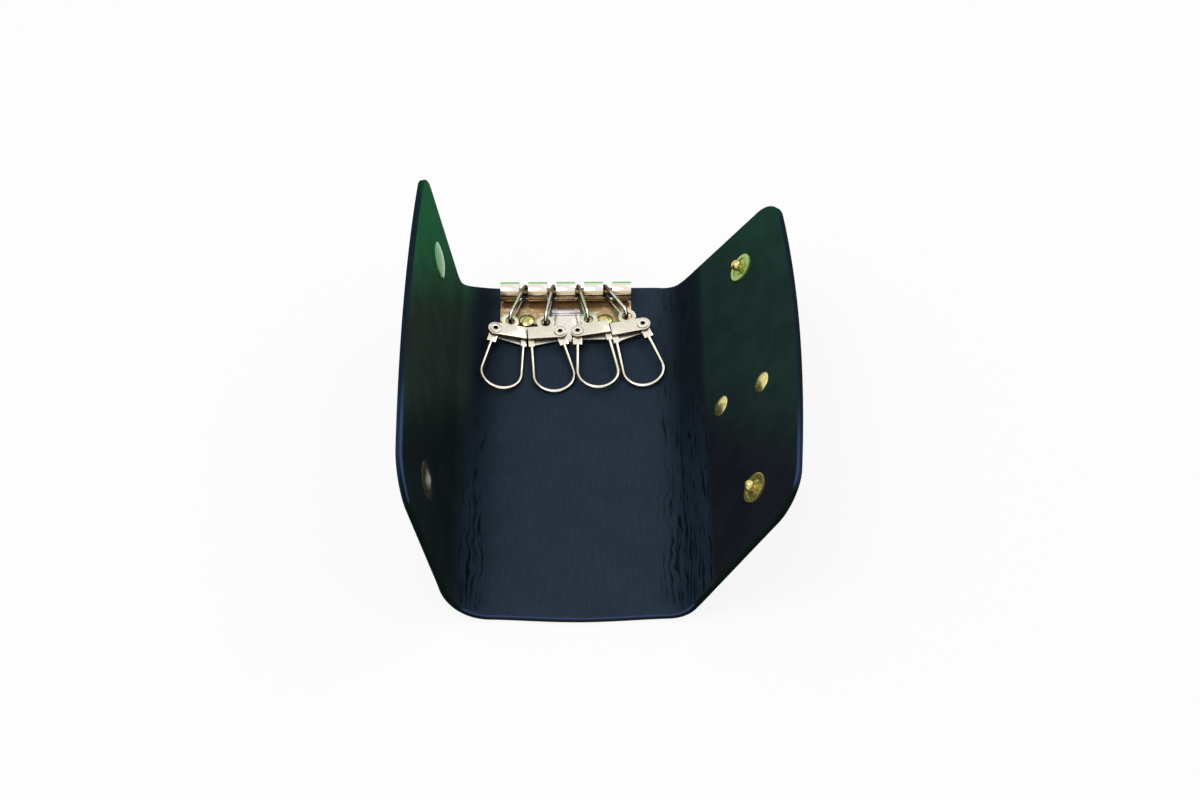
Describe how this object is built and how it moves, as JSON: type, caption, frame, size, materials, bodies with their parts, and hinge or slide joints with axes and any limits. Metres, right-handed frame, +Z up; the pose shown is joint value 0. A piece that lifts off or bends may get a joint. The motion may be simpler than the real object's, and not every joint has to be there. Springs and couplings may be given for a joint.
{
  "type": "leather key case",
  "caption": "Tri-fold leather key case lying open, with a hinged key bar of wire key hooks, snap fasteners and rivets on its flaps.",
  "frame": {"origin": "middle of the flat centre panel, on the surface that the case lies on", "axes": "+X across the case towards the stud flap, +Y along the case towards the key bar, +Z up"},
  "size_m": [0.1028, 0.12, 0.055],
  "materials": {
    "leather_lining": "smooth dyed leather with a low sheen",
    "leather_outer": "smooth dyed leather with burnished edges",
    "hardware_brass": "polished plating",
    "hardware_pale_brass": "polished pale gold plating"
  },
  "bodies": {
    "case": {"centre_outer": "leather_outer", "centre_lining": "leather_lining", "left_fold_outer": "leather_outer", "left_fold_lining": "leather_lining", "right_fold_outer": "leather_outer", "right_fold_lining": "leather_lining", "key_bar": "hardware_pale_brass", "bar_rod": "hardware_pale_brass", "bar_rivets": "hardware_brass"},
    "left_flap": {"left_flap_outer": "leather_outer", "left_flap_lining": "leather_lining", "left_snap_caps": "hardware_brass", "left_snap_sockets": "hardware_brass"},
    "right_flap": {"right_flap_outer": "leather_outer", "right_flap_lining": "leather_lining", "right_snap_studs": "hardware_brass", "right_snap_posts": "hardware_brass", "right_rivet_caps": "hardware_brass", "right_rivet_backs": "hardware_brass"},
    "link_1": {"link_1": "hardware_pale_brass"},
    "hook_1": {"hook_1_head": "hardware_pale_brass", "hook_1_spring": "hardware_pale_brass", "hook_1_eyelet": "hardware_pale_brass"},
    "bow_1": {"bow_1": "hardware_pale_brass"},
    "link_2": {"link_2": "hardware_pale_brass"},
    "hook_2": {"hook_2_head": "hardware_pale_brass", "hook_2_spring": "hardware_pale_brass", "hook_2_eyelet": "hardware_pale_brass"},
    "bow_2": {"bow_2": "hardware_pale_brass"},
    "link_3": {"link_3": "hardware_pale_brass"},
    "hook_3": {"hook_3_head": "hardware_pale_brass", "hook_3_spring": "hardware_pale_brass", "hook_3_eyelet": "hardware_pale_brass"},
    "bow_3": {"bow_3": "hardware_pale_brass"},
    "link_4": {"link_4": "hardware_pale_brass"},
    "hook_4": {"hook_4_head": "hardware_pale_brass", "hook_4_spring": "hardware_pale_brass", "hook_4_eyelet": "hardware_pale_brass"},
    "bow_4": {"bow_4": "hardware_pale_brass"}
  },
  "joints": [
    {"name": "left_flap_fold", "type": "hinge", "parent": "case", "child": "left_flap", "pos_m": [-0.02795, 0, 0.00443], "axis": [0, 1, 0], "range_deg": [-68, 102], "deforming": ["left_fold_outer", "left_fold_lining"]},
    {"name": "right_flap_fold", "type": "hinge", "parent": "case", "child": "right_flap", "pos_m": [0.02638, 0, 0.01005], "axis": [0, -1, 0], "range_deg": [-45, 125], "deforming": ["right_fold_outer", "right_fold_lining"]},
    {"name": "link_1_swing", "type": "hinge", "parent": "case", "child": "link_1", "pos_m": [-0.01599, 0.0555, 0.0046], "axis": [-1, 0, 0], "range_deg": [0, 165]},
    {"name": "hook_1_tip", "type": "hinge", "parent": "link_1", "child": "hook_1", "pos_m": [-0.01934, 0.0452, 0.00528], "axis": [0.9511, -0.309, 0], "range_deg": [-90, 0]},
    {"name": "bow_1_open", "type": "hinge", "parent": "hook_1", "child": "bow_1", "pos_m": [-0.02408, 0.0394, 0.00513], "axis": [0.2061, -0.0567, 0.9769], "range_deg": [-13, 0]},
    {"name": "link_2_swing", "type": "hinge", "parent": "case", "child": "link_2", "pos_m": [-0.00789, 0.0555, 0.0046], "axis": [-1, 0, 0], "range_deg": [0, 165]},
    {"name": "hook_2_tip", "type": "hinge", "parent": "link_2", "child": "hook_2", "pos_m": [-0.00958, 0.04479, 0.00505], "axis": [-0.9877, 0.1564, 0], "range_deg": [0, 90]},
    {"name": "bow_2_open", "type": "hinge", "parent": "hook_2", "child": "bow_2", "pos_m": [-0.00572, 0.03913, 0.00394], "axis": [0.0051, -0.0731, 0.9973], "range_deg": [0, 24]},
    {"name": "link_3_swing", "type": "hinge", "parent": "case", "child": "link_3", "pos_m": [-0.00046, 0.0555, 0.0046], "axis": [-1, 0, 0], "range_deg": [0, 165]},
    {"name": "hook_3_tip", "type": "hinge", "parent": "link_3", "child": "hook_3", "pos_m": [0.00178, 0.04496, 0.00585], "axis": [0.9781, 0.2079, 0], "range_deg": [-90, 0]},
    {"name": "bow_3_open", "type": "hinge", "parent": "hook_3", "child": "bow_3", "pos_m": [-0.00079, 0.0383, 0.00494], "axis": [0.0116, -0.0546, 0.9984], "range_deg": [-24, 0]},
    {"name": "link_4_swing", "type": "hinge", "parent": "case", "child": "link_4", "pos_m": [0.00728, 0.0555, 0.0046], "axis": [-1, 0, 0], "range_deg": [0, 160]},
    {"name": "hook_4_tip", "type": "hinge", "parent": "link_4", "child": "hook_4", "pos_m": [0.01226, 0.04594, 0.00585], "axis": [-0.887, -0.4617, 0], "range_deg": [0, 90]},
    {"name": "bow_4_open", "type": "hinge", "parent": "hook_4", "child": "bow_4", "pos_m": [0.01772, 0.04091, 0.00509], "axis": [0.0688, 0.1171, -0.9907], "range_deg": [-12, 0]}
  ]
}
